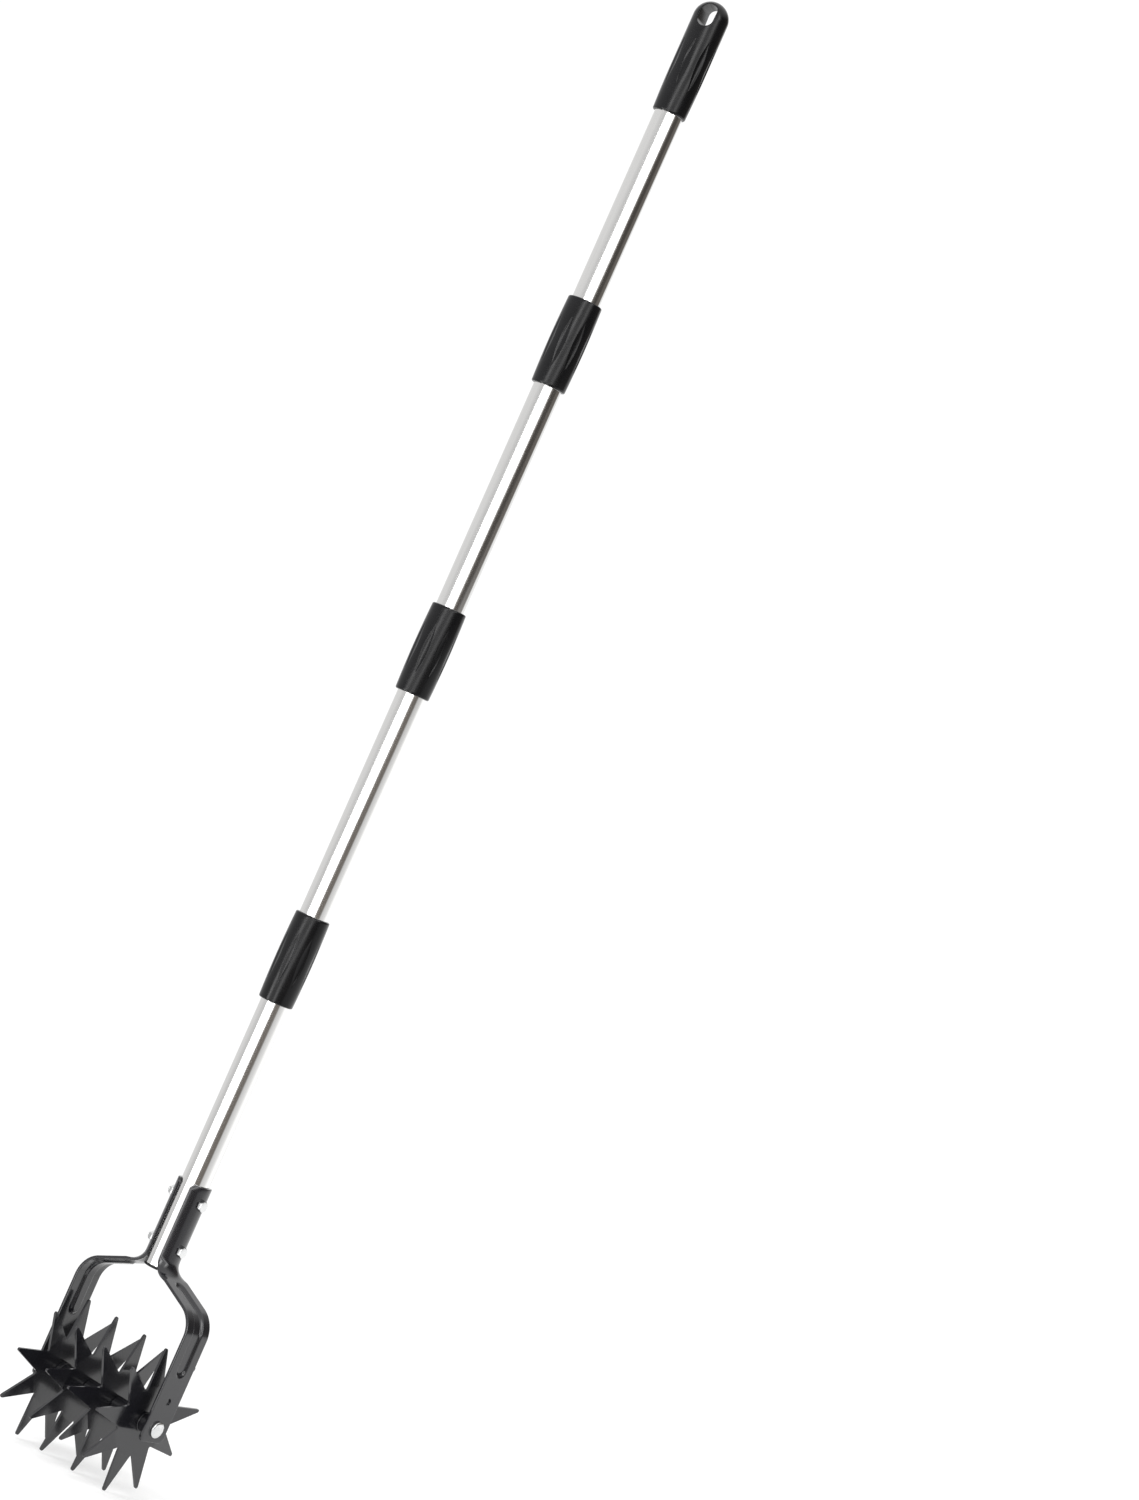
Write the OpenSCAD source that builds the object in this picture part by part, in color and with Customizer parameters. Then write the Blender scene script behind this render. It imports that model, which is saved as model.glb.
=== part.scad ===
// Rotary lawn aerator: four spiked star wheels turn on an axle bolt between the two pressed
// steel arms of a fork. The fork clasps a stainless pole of four sections that screw together.
// X runs along the axle, Z up the pole, and the origin is on the ground under the pole.

/* [Star wheels] */
// Radius from the axle to the tips of the points
wheel_r = 72; // [68:1:74]
// Radius of the valleys between the points
valley_r = 32.7; // [30:0.5:34]
// Thickness of the star plates
plate_t = 2.5; // [2:0.25:3]
// Distance between neighbouring star wheels along the axle
wheel_pitch = 37.9; // [36:0.1:39]
// Sideways bend of the set points, in degrees
set_angle = 4.8; // [0:0.2:7]
// Turn of each star wheel beyond its left-hand neighbour, in degrees
wheel_twist = 2.4; // [0:0.1:10]
// Outside diameter of the hub tubes
hub_d = 18; // [16:0.5:20]

/* [Axle] */
// Height of the axle above the ground
axle_h = 70; // [66:0.5:74]
// Diameter of the axle bolt
axle_d = 10; // [8:0.5:11]
// Diameter of the round bolt head
axle_head_d = 16; // [15:0.5:18]

/* [Fork] */
// Distance between the inner faces of the two arms
fork_gap = 144; // [140:0.5:150]
// Width of the arm strip
strip_w = 34; // [30:0.5:36]
// Thickness of the arm strip
strip_t = 3; // [2.5:0.1:3.5]
// Slope of the flared shoulders below the horizontal, in degrees
flare_angle = 22.5; // [15:0.5:30]
// Bend radius of the shoulders
shoulder_r = 26.5; // [20:0.5:30]
// Bend radius where the flare turns up into the clasp
clasp_bend_r = 16; // [12:0.5:20]
// Height of the clasp bend above the axle
clasp_base = 132; // [126:1:140]
// Height of the clasp's top edge above the axle
clasp_top = 218; // [200:1:230]
// Depth of the stiffening groove
groove_depth = 2.4; // [1:0.1:3]
// Width of the stiffening groove
groove_w = 15; // [10:0.5:18]
// Diameter of the spare hole in each arm
spare_hole_d = 7; // [5:0.5:8]

/* [Pole] */
// Outside diameter of the stainless tube
tube_d = 28; // [26:0.5:30]
// Wall thickness of the tube
tube_wall = 1; // [0.8:0.1:1.5]
// Distance from one coupling to the next
section_pitch = 317; // [300:1:360]
// Height of the lowest coupling's middle above the axle
first_joint = 447; // [420:1:500]
// Length of a coupling sleeve
sleeve_l = 88.5; // [80:0.5:100]
// Diameter of a coupling sleeve at its middle
sleeve_d = 35.8; // [35:0.2:40]
// Diameter of the threads that join the sections
thread_d = 20; // [18:0.5:21]
// Length of the threads
thread_l = 30; // [20:1:34]

/* [Grip] */
// Length of the end grip
grip_l = 116; // [112:1:140]
// Diameter of the end grip
grip_d = 34.8; // [34:0.2:40]
// Height of the tube's top end inside the grip, above the grip's lower end
grip_socket = 78; // [76:1:82]
// Turn of the hang slot about the pole, in degrees
slot_turn = 17.5; // [0:0.5:20]
// Width of the hang slot
slot_w = 15.6; // [14:0.1:17]
// Overall height of the hang slot
slot_h = 23.6; // [20:0.1:25]

/* [Hidden] */
POINTS = 9;
$fn = 96;

black_plastic = [0.05, 0.05, 0.055];
black_paint = [0.10, 0.10, 0.11];
stainless = [0.80, 0.80, 0.79];
zinc = [0.86, 0.87, 0.88];

// Clearances
run_gap = 0.08;
side_gap = 0.2;

// Star wheels
tip_r = 1.6;
root_r = 2.2;
first_turn = 9.1;
point_step = 360 / POINTS;
valley_turn = point_step / 2;
// Slope of a point's flanks, which run from the valley to the rounded tip
flank = atan2(valley_r * sin(valley_turn) - tip_r, wheel_r - tip_r - valley_r * cos(valley_turn));
bend_r = valley_r + 2.5;
hub_bore_r = axle_d / 2 + run_gap;
collar_l = 5.5;

function wheel_x(i) = (i - 2.5) * wheel_pitch;
function wheel_turn(i) = first_turn + (i - 1) * wheel_twist;
// 1, 0 or -1: the way point j of wheel i is set; the order moves on by one point per wheel
function point_set(i, j) = 1 - (j - (i - 1) + POINTS) % 3;

// Fork arm: a strip of constant width whose middle line has two bends
arm_x = fork_gap / 2 + strip_t / 2;
clasp_r = tube_d / 2 + 0.1 + strip_t / 2;
bend_turn = 90 - flare_angle;
arm_foot = -13;
corner_r = 5.5;
clasp_corner_r = 5;
flare_run = arm_x - clasp_r;
corner_z = clasp_base - flare_run * tan(flare_angle);
shoulder_cut = shoulder_r * tan(bend_turn / 2);
clasp_cut = clasp_bend_r * tan(bend_turn / 2);
leg_l = corner_z - shoulder_cut - arm_foot;
shoulder_l = shoulder_r * bend_turn * PI / 180;
flare_l = flare_run / cos(flare_angle) - shoulder_cut - clasp_cut;
clasp_bend_l = clasp_bend_r * bend_turn * PI / 180;
clasp_l = clasp_top - clasp_base - clasp_cut;
shoulder_end = leg_l + shoulder_l;
flare_end = shoulder_end + flare_l;
clasp_bend_end = flare_end + clasp_bend_l;
arm_l = clasp_bend_end + clasp_l;
groove_foot = 65;
groove_head = 3;
groove_end = flare_end - groove_head;
groove_edge = 3.5;
spare_hole_h = 27.5;
ARM_COLS = 24;

// Clasp bolts, M6
bolt_d = 6;
bolt_hole_r = bolt_d / 2 + 0.2;
bolt_af = 10;
bolt_head_h = 4;
nut_h = 5;
bolt_low = 154.5;
bolt_high = 201.5;

// Axle bolt, washer and nut
axle_head_h = 2.8;
washer_t = 1.5;
axle_nut_af = 16;
axle_nut_h = 8;
arm_out = fork_gap / 2 + strip_t;

// Pole
tube_r = tube_d / 2;
bore_r = tube_r - tube_wall;
tube_foot = clasp_base + 1;
flange_t = 3;
plug_l = 28;
plug_flange_t = 2.5;
sleeve_bore_r = tube_r + run_gap;
sleeve_bulge = 0.8;
edge_r = 1.6;
FLUTES = 8;
flute_turn = 19.3;
flute_l = 49;
flute_depth = 0.8;
flute_r = 10;

// Grip
grip_foot = 1319;
grip_bore_r = tube_r;
slot_middle = grip_l - 16.5;
flute_middle = 50;

// Height above the axle of coupling k, counted from the top
function joint_h(k) = first_joint + (3 - k) * section_pitch;

// ---------------------------------------------------------------- helpers
module ring(outer_r, inner_r, height) {
    difference() {
        cylinder(r = outer_r, h = height);
        translate([0, 0, -1])
            cylinder(r = inner_r, h = height + 2);
    }
}

// A ring whose outer edges are chamfered, standing on z = 0
module chamfered_ring(outer_r, inner_r, height, chamfer) {
    rotate_extrude()
        polygon([
            [inner_r, 0],
            [outer_r - chamfer, 0],
            [outer_r, chamfer],
            [outer_r, height - chamfer],
            [outer_r - chamfer, height],
            [inner_r, height]
        ]);
}

module hexagon(across_flats, height) {
    cylinder(d = across_flats / cos(30), h = height, $fn = 6);
}

// Lays a child that stands along Z along the axle, its foot at x
module along_axle(x) {
    translate([x, 0, axle_h])
        rotate([0, 90, 0])
            children();
}

// ---------------------------------------------------------------- star wheels
function circle_points(centre, r, from, to, steps) =
    [for (s = [0 : steps])
        centre + r * [cos(from + (to - from) * s / steps), sin(from + (to - from) * s / steps)]];

// One point along +X, from its root chord to its rounded tip
module point_outline(root_x) {
    tip_x = wheel_r - tip_r;
    root_y = tip_r / cos(flank) + (tip_x - root_x) * tan(flank);
    polygon(concat(
        [[root_x, -root_y]],
        circle_points([tip_x, 0], tip_r, flank - 90, 90 - flank, 6),
        [[root_x, root_y]]
    ));
}

// The flat middle of the plate, out to the bend lines, with rounded valleys
module star_middle() {
    intersection() {
        rotate(valley_turn)
            circle(r = bend_r / cos(valley_turn), $fn = POINTS);
        difference() {
            union() {
                circle(r = valley_r);
                for (j = [0 : POINTS - 1])
                    rotate(j * point_step)
                        point_outline(valley_r / 2);
            }
            for (j = [0 : POINTS - 1])
                rotate(j * point_step + valley_turn)
                    translate([valley_r + root_r, 0])
                        circle(r = root_r, $fn = 24);
        }
    }
}

module star_wheel(i) {
    color(black_paint)
        translate([wheel_x(i), 0, axle_h])
            rotate([wheel_turn(i), 0, 0])
                rotate([90, 0, 90])
                    difference() {
                        union() {
                            translate([0, 0, -plate_t / 2])
                                linear_extrude(plate_t)
                                    star_middle();
                            for (j = [0 : POINTS - 1])
                                rotate([0, 0, j * point_step])
                                    set_point(point_set(i, j));
                        }
                        translate([0, 0, -plate_t])
                            cylinder(r = hub_bore_r, h = 2 * plate_t);
                    }
}

// A point bent about its root chord; way is 1, 0 or -1
module set_point(way) {
    translate([bend_r, 0, 0])
        rotate([0, -way * set_angle, 0])
            translate([-bend_r, 0, -plate_t / 2])
                linear_extrude(plate_t)
                    point_outline(bend_r - 0.4);
}

// Hub tube of wheel i. The first wheel's is a short collar on its right; each other wheel's
// runs from its plate back to the wheel on its left.
module star_hub(i) {
    face = wheel_x(i) - plate_t / 2;
    length = wheel_pitch - plate_t - side_gap - (i == 2 ? collar_l : 0);
    color(black_paint)
        if (i == 1)
            along_axle(wheel_x(1) + plate_t / 2)
                chamfered_ring(hub_d / 2 + 1, hub_bore_r, collar_l, 0.6);
        else
            along_axle(face - length)
                chamfered_ring(hub_d / 2, hub_bore_r, length, 0.5);
}

// ---------------------------------------------------------------- fork arms
// Middle line of the right arm from its foot up to the clasp: [x, z, heading], where heading is
// 90 up the leg and turns towards 180 over the shoulder
function leg_point(s) = [arm_x, arm_foot + s, 90];
function shoulder_point(s) =
    let (a = s / shoulder_r * 180 / PI)
    [arm_x - shoulder_r * (1 - cos(a)), arm_foot + leg_l + shoulder_r * sin(a), 90 + a];
function flare_point(s) =
    let (p = shoulder_point(shoulder_l))
    [p.x - s * cos(flare_angle), p.y + s * sin(flare_angle), 90 + bend_turn];
function clasp_bend_point(s) =
    let (p = flare_point(flare_l), h = p.z, a = s / clasp_bend_r * 180 / PI)
    [
        p.x + clasp_bend_r * (sin(h) - sin(h - a)),
        p.y + clasp_bend_r * (cos(h - a) - cos(h)),
        h - a
    ];
function clasp_point(s) = [clasp_r, clasp_base + clasp_cut + s, 90];

// Evenly spaced stations beyond the first one, along a stretch of the strip
function stations(from, length, steps) = [for (k = [1 : steps]) from + length * k / steps];
arm_stations = concat(
    [0, corner_r + 1],
    stations(groove_foot - 2, 8, 4),
    stations(groove_foot + 6, leg_l - groove_foot - 6, 3),
    stations(leg_l, shoulder_l, 10),
    stations(shoulder_end, groove_end - 6 - shoulder_end, 3),
    stations(groove_end - 6, flare_end - groove_end + 6, 4),
    stations(flare_end, clasp_bend_l, 12),
    [clasp_bend_end + 3, arm_l - clasp_corner_r - 1, arm_l]
);

function arm_point(s) =
    s < leg_l ? leg_point(s)
    : s < shoulder_end ? shoulder_point(s - leg_l)
    : s < flare_end ? flare_point(s - shoulder_end)
    : s < clasp_bend_end ? clasp_bend_point(s - flare_end)
    : clasp_point(s - clasp_bend_end);

// Smooth step from 0 to 1
function ease(t) = let (u = min(1, max(0, t))) u * u * (3 - 2 * u);

// How far the strip is rolled round the tube at station s, from 0 (flat) to 1
function roll_at(s) = ease((s - flare_end + 2) / (clasp_bend_l + 4));

// Depth of the stiffening groove at station s and v across the strip
function groove_at(s, v) =
    groove_depth
    * ease((groove_w / 2 - abs(v)) / groove_edge)
    * ease((s - groove_foot) / 6)
    * ease((groove_end - s) / 6);

// A point of the strip, at station s, v across it, and side above its middle line
function strip_point(s, v, side) =
    let (
        p = arm_point(s),
        r = clasp_r / max(0.001, roll_at(s)),
        a = v / r * 180 / PI,
        d = side - groove_at(s, v),
        out = (r + d) * cos(a) - r,
        n = [sin(p.z), -cos(p.z)]
    )
    [p.x + out * n.x, (r + d) * sin(a), axle_h + p.y + out * n.y];

// Station of row r at v across the strip: the two end rows follow the rounded corners
function row_station(r, v) =
    r == 0 ? corner_trim(v, corner_r)
    : r == len(arm_stations) - 1 ? arm_l - corner_trim(v, clasp_corner_r)
    : arm_stations[r];
function corner_trim(v, r) =
    let (u = max(0, abs(v) - strip_w / 2 + r))
    r - sqrt(max(0, r * r - u * u));

module arm_strip() {
    rows = len(arm_stations);
    cols = ARM_COLS + 1;
    across = [for (c = [0 : ARM_COLS]) strip_w * (c / ARM_COLS - 0.5)];
    skin = rows * cols;
    points = [
        for (side = [1, -1])
            for (r = [0 : rows - 1])
                for (v = across)
                    strip_point(row_station(r, v), v, side * strip_t / 2)
    ];
    faces = concat(
        [for (r = [0 : rows - 2]) for (c = [0 : cols - 2]) each quad(
            r * cols + c, r * cols + c + 1, (r + 1) * cols + c + 1, (r + 1) * cols + c)],
        [for (r = [0 : rows - 2]) for (c = [0 : cols - 2]) each quad(
            skin + (r + 1) * cols + c, skin + (r + 1) * cols + c + 1,
            skin + r * cols + c + 1, skin + r * cols + c)],
        [for (r = [0 : rows - 2]) for (c = [0, cols - 1]) each edge_quad(
            r * cols + c, (r + 1) * cols + c, skin, c != 0)],
        [for (c = [0 : cols - 2]) for (r = [0, rows - 1]) each edge_quad(
            r * cols + c, r * cols + c + 1, skin, r == 0)]
    );
    polyhedron(points, faces, convexity = 8);
}

function quad(a, b, c, d) = [[a, c, b], [a, d, c]];
function edge_quad(a, b, skin, flip) =
    flip
    ? [[a, b, b + skin], [a, b + skin, a + skin]]
    : [[b, a, a + skin], [b, a + skin, b + skin]];

module arm() {
    color(black_paint)
        difference() {
            arm_strip();
            along_axle(fork_gap / 2 - 5)
                cylinder(r = axle_d / 2 + 0.15, h = 20);
            translate([0, 0, spare_hole_h])
                along_axle(fork_gap / 2 - 5)
                    cylinder(d = spare_hole_d, h = 20);
            for (h = [bolt_low, bolt_high])
                translate([0, 0, h])
                    along_axle(clasp_r - 6)
                        cylinder(r = bolt_hole_r, h = 12);
        }
}

module right_arm() {
    arm();
}

module left_arm() {
    mirror([1, 0, 0])
        arm();
}

// ---------------------------------------------------------------- fasteners
module clasp_bolts() {
    seat = clasp_r + strip_t / 2;
    shank_l = 2 * seat + nut_h + 3;
    color(zinc)
        for (h = [bolt_low, bolt_high])
            translate([0, 0, h]) {
                along_axle(seat)
                    hexagon(bolt_af, bolt_head_h);
                along_axle(seat - shank_l)
                    cylinder(d = bolt_d, h = shank_l + 1);
            }
}

module clasp_nuts() {
    seat = clasp_r + strip_t / 2;
    color(zinc)
        for (h = [bolt_low, bolt_high])
            translate([0, 0, h])
                along_axle(-seat - nut_h)
                    difference() {
                        hexagon(bolt_af, nut_h);
                        translate([0, 0, -1])
                            cylinder(d = bolt_d, h = nut_h + 2);
                    }
}

// Round-headed bolt through both arms; its end stands 2 mm out of the nut
module axle_bolt() {
    end = -arm_out - washer_t - axle_nut_h - 2;
    color(zinc)
        along_axle(0)
            rotate_extrude()
                polygon([
                    [0, end],
                    [axle_d / 2 - 0.8, end],
                    [axle_d / 2, end + 0.8],
                    [axle_d / 2, arm_out],
                    [axle_head_d / 2 - 0.3, arm_out],
                    [axle_head_d / 2, arm_out + 0.3],
                    [axle_head_d / 2, arm_out + axle_head_h - 0.5],
                    [axle_head_d / 2 - 0.5, arm_out + axle_head_h],
                    [0, arm_out + axle_head_h]
                ]);
}

module axle_washer() {
    color(zinc)
        along_axle(-arm_out - washer_t)
            ring(10, axle_d / 2 + 0.15, washer_t);
}

// Lock nut: a hexagon with a round collar that holds its nylon ring
module axle_nut() {
    collar_h = 2.5;
    color(zinc)
        along_axle(-arm_out - washer_t - axle_nut_h)
            difference() {
                union() {
                    translate([0, 0, collar_h])
                        hexagon(axle_nut_af, axle_nut_h - collar_h);
                    cylinder(r = axle_nut_af / 2 - 1, h = collar_h + 0.5);
                }
                translate([0, 0, -1])
                    cylinder(r = axle_d / 2, h = axle_nut_h + 2);
            }
}

// Spacer between the left arm and the first star wheel
module left_spacer() {
    length = fork_gap / 2 - side_gap - 1.5 * wheel_pitch - plate_t / 2;
    color(black_paint)
        along_axle(-fork_gap / 2)
            chamfered_ring(hub_d / 2, hub_bore_r, length, 0.8);
}

module thrust_washer() {
    color(black_paint)
        along_axle(1.5 * wheel_pitch + plate_t / 2 + side_gap)
            chamfered_ring(hub_d / 2 + 0.8, hub_bore_r, 1.5, 0.4);
}

// Spacer between the thrust washer and the right arm
module right_spacer() {
    start = 1.5 * wheel_pitch + plate_t / 2 + side_gap + 1.5;
    color(black_paint)
        along_axle(start)
            chamfered_ring(hub_d / 2, hub_bore_r, fork_gap / 2 - start, 0.8);
}

// ---------------------------------------------------------------- pole
// Tube k, counted from the top. Each lower tube stops short of its coupling's middle, where
// the flange of its thread stud sits.
module tube(k) {
    foot = k == 4 ? tube_foot : joint_h(k);
    top = k == 1 ? grip_foot + grip_socket : joint_h(k - 1) - flange_t;
    color(stainless)
        translate([0, 0, axle_h + foot])
            difference() {
                ring(tube_r, bore_r, top - foot);
                if (k == 4)
                    for (h = [bolt_low, bolt_high])
                        translate([-tube_d, 0, h - foot])
                            rotate([0, 90, 0])
                                cylinder(r = bolt_hole_r, h = 2 * tube_d);
            }
}

// Plastic sleeve with barrelled sides and a ring of shallow leaf-shaped flutes
module coupling_sleeve(k) {
    end_r = sleeve_d / 2 - sleeve_bulge;
    half = sleeve_l / 2;
    color(black_plastic)
        translate([0, 0, axle_h + joint_h(k)])
            difference() {
                rotate_extrude()
                    polygon(concat(
                        [[sleeve_bore_r, -half]],
                        circle_points([end_r - edge_r, edge_r - half], edge_r, -90, 0, 4),
                        barrel_points(end_r, half - edge_r),
                        circle_points([end_r - edge_r, half - edge_r], edge_r, 0, 90, 4),
                        [[sleeve_bore_r, half]]
                    ));
                flutes(sleeve_d / 2, sleeve_bulge * pow(flute_l / 2 / (half - edge_r), 2));
            }
}

// Side of the sleeve, bulging between its two rounded ends
function barrel_points(end_r, reach) =
    [for (s = [-0.8 : 0.2 : 0.8]) [end_r + sleeve_bulge * (1 - s * s), s * reach]];

// Leaf-shaped hollows round a grip of radius r, each cut by a long spindle beside it. drop is
// how much the grip's own radius falls from the middle of a hollow to its ends.
module flutes(r, drop) {
    for (f = [0 : FLUTES - 1])
        rotate([0, 0, flute_turn + f * 360 / FLUTES])
            translate([r - flute_depth + flute_r, 0, 0])
                rotate_extrude($fn = 48)
                    polygon(concat(
                        [[0, -1.2 * flute_l / 2]],
                        [for (s = [-1.2 : 0.3 : 1.2])
                            [flute_r - (flute_depth - drop) * s * s, s * flute_l / 2]],
                        [[0, 1.2 * flute_l / 2]]
                    ));
}

// Threaded socket pressed into the foot of the upper tube of coupling k
module thread_socket(k) {
    color(black_plastic)
        translate([0, 0, axle_h + joint_h(k)])
            chamfered_ring(bore_r, thread_d / 2 + run_gap, thread_l + 6, 0.5);
}

// Threaded stud pressed into the head of the lower tube of coupling k
module thread_stud(k) {
    color(black_plastic)
        translate([0, 0, axle_h + joint_h(k)])
            rotate_extrude()
                polygon([
                    [7, -flange_t - plug_l],
                    [bore_r - 0.8, -flange_t - plug_l],
                    [bore_r, -flange_t - plug_l + 0.8],
                    [bore_r, -flange_t],
                    [tube_r, -flange_t],
                    [tube_r, 0],
                    [thread_d / 2, 0],
                    [thread_d / 2, thread_l - 1.5],
                    [thread_d / 2 - 1.5, thread_l],
                    [7, thread_l]
                ]);
}

// Plug in the foot of the lowest tube, its flange against the tube's end
module tube_end_plug() {
    color(black_plastic)
        translate([0, 0, axle_h + tube_foot - plug_flange_t])
            rotate_extrude()
                polygon([
                    [0, 0],
                    [tube_r - 0.4, 0],
                    [tube_r, 0.4],
                    [tube_r, plug_flange_t],
                    [bore_r, plug_flange_t],
                    [bore_r, 16],
                    [bore_r - 1.5, 17],
                    [0, 17]
                ]);
}

// ---------------------------------------------------------------- grip
// Moulded grip with a domed end, closed above the tube and pierced by the hang slot
module end_grip() {
    r = grip_d / 2;
    foot_r = r - sleeve_bulge;
    color(black_plastic)
        translate([0, 0, axle_h + grip_foot])
            difference() {
                rotate_extrude()
                    polygon(concat(
                        [[0, 0]],
                        circle_points([foot_r - edge_r, edge_r], edge_r, -90, 0, 4),
                        [[r, grip_l * 0.35]],
                        circle_points([0, grip_l - r], r, 0, 90, 16)
                    ));
                translate([0, 0, -1])
                    cylinder(r = grip_bore_r, h = grip_socket + 1);
                translate([0, 0, flute_middle])
                    flutes(r, 0);
                rotate([0, 0, slot_turn])
                    translate([0, 0, slot_middle])
                        rotate([90, 0, 0])
                            hang_slot();
            }
}

module hang_slot() {
    reach = (slot_h - slot_w) / 2;
    translate([0, 0, -grip_d])
        linear_extrude(2 * grip_d)
            union() {
                square([slot_w, 2 * reach], center = true);
                for (way = [-1, 1])
                    translate([0, way * reach])
                        circle(d = slot_w);
            }
}

end_grip();
tube(1);  // tube_1
tube(2);  // tube_2
tube(3);  // tube_3
tube(4);  // tube_4
coupling_sleeve(1);  // coupling_sleeve_1
coupling_sleeve(2);  // coupling_sleeve_2
coupling_sleeve(3);  // coupling_sleeve_3
thread_socket(1);  // thread_socket_1
thread_socket(2);  // thread_socket_2
thread_socket(3);  // thread_socket_3
thread_stud(1);  // thread_stud_1
thread_stud(2);  // thread_stud_2
thread_stud(3);  // thread_stud_3
tube_end_plug();
left_arm();
right_arm();
clasp_bolts();
clasp_nuts();
axle_bolt();
axle_washer();
axle_nut();
left_spacer();
right_spacer();
thrust_washer();
star_wheel(1);  // star_wheel_1
star_wheel(2);  // star_wheel_2
star_wheel(3);  // star_wheel_3
star_wheel(4);  // star_wheel_4
star_hub(1);  // star_hub_1
star_hub(2);  // star_hub_2
star_hub(3);  // star_hub_3
star_hub(4);  // star_hub_4
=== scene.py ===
import math

import bmesh
import bpy
from mathutils import Matrix, Vector


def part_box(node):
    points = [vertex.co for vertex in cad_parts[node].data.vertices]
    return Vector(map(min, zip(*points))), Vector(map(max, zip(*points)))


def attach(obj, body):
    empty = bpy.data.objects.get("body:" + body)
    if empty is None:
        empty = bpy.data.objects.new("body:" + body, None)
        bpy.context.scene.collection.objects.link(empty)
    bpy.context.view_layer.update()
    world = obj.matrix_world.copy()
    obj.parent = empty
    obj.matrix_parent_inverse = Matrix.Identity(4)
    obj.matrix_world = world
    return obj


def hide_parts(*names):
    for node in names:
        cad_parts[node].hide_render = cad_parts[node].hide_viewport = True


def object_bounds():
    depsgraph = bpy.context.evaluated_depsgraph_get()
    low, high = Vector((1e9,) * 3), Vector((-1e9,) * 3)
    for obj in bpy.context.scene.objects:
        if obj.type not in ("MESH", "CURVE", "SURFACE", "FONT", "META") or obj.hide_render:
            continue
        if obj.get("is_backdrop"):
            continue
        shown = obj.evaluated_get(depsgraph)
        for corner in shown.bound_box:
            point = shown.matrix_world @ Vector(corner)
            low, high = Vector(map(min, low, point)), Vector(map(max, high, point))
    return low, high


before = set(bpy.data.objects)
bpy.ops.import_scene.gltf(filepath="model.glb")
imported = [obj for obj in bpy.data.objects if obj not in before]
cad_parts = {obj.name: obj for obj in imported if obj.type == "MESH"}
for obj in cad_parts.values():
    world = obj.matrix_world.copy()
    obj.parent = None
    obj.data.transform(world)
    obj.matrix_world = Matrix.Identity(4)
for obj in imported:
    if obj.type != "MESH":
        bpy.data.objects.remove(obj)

cad_low, cad_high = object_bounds()


# ------------------------------------------------------------------ star wheels
# Four nine-pointed stars punched from 2.5 mm steel plate and enamelled black. In a press every
# third point is set over to the right, left straight or set over to the left, and the order moves
# on by one from each star to the next. They turn freely on the axle bolt.
wheel_r = 0.072
plate_t = 0.0025
points = 9
point_step = math.tau / points
tip_round = 0.0016
notch_apex_r = 0.0322
notch_round = 0.0013
bend_line = 0.0352
bend_half = 0.0016
set_angle = math.radians(4.8)
first_turn = math.radians(9.1)
next_turn = math.radians(2.4)
axle_hole_r = 0.00508
punched_edge = 0.00042
punched_steps = 4
bend_rows = 3


def new_mesh(name, vertices, faces):
    """An object in the scene, its doubles merged and its faces turned outwards."""
    mesh = bpy.data.meshes.new(name)
    mesh.from_pydata(vertices, [], faces)
    piece = bpy.data.objects.new(name, mesh)
    bpy.context.scene.collection.objects.link(piece)
    tidy_mesh(mesh)
    return piece


def tidy_mesh(mesh):
    shape = bmesh.new()
    shape.from_mesh(mesh)
    bmesh.ops.remove_doubles(shape, verts=shape.verts, dist=1e-6)
    bmesh.ops.recalc_face_normals(shape, faces=shape.faces)
    shape.to_mesh(mesh)
    shape.free()


def soften(mesh, crease=35):
    """Smooth shading, but for edges that turn by more than crease degrees."""
    mesh.shade_smooth()
    mesh.set_sharp_from_angle(angle=math.radians(crease))


def as_plain_mesh(piece):
    """Swaps the object's live modifiers for the mesh they make."""
    evaluated = piece.evaluated_get(bpy.context.evaluated_depsgraph_get())
    made = bpy.data.meshes.new_from_object(evaluated)
    piece.modifiers.clear()
    piece.data = made
    return piece


def belongs(piece, body, slot, *nodes):
    """The piece rides on that body and stands for those CAD nodes; slot is not used."""
    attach(piece, body)
    if nodes:
        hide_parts(*nodes)


def arc(centre, r, start, end, steps):
    """Points on an arc in a plane; the angles are in degrees."""
    angles = [math.radians(start + (end - start) * k / steps) for k in range(steps + 1)]
    return [(centre[0] + r * math.cos(a), centre[1] + r * math.sin(a)) for a in angles]


class NodeTree:
    """A short way to write a Geometry Nodes or shader tree, its nodes laid out in one row."""
    spacing = 180

    def __init__(self, tree):
        self.tree = tree
        self.column = 0

    def add(self, kind, inputs=(), **settings):
        node = self.tree.nodes.new(kind)
        node.location = (self.column * self.spacing, 0)
        self.column += 1
        for name, value in settings.items():
            setattr(node, name, value)
        self.feed(node, dict(inputs))
        return node

    def feed(self, node, inputs):
        for key, value in inputs.items():
            socket = node.inputs[key]
            if isinstance(value, bpy.types.NodeSocket):
                self.tree.links.new(value, socket)
            else:
                socket.default_value = value

    def math(self, operation, *values):
        node = self.add("ShaderNodeMath", dict(enumerate(values)), operation=operation)
        return node.outputs[0]

    def spread(self, value, start, end, low=0.0, high=1.0, **settings):
        """Carries start to end over to low to high."""
        return self.add("ShaderNodeMapRange", {
            "Value": value, "From Min": start, "From Max": end, "To Min": low, "To Max": high},
            **settings).outputs[0]

    def mix(self, share, first, second):
        node = self.add("ShaderNodeMixRGB", {"Fac": share, "Color1": first, "Color2": second})
        return node.outputs[0]

    def noise(self, place, scale, detail=2.0, **inputs):
        inputs.update({"Vector": place, "Scale": scale, "Detail": detail})
        return self.add("ShaderNodeTexNoise", inputs).outputs[0]

    def bump(self, height, strength, distance):
        node = self.add("ShaderNodeBump", {"Height": height, "Strength": strength, "Distance": distance})
        return node.outputs[0]


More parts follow.
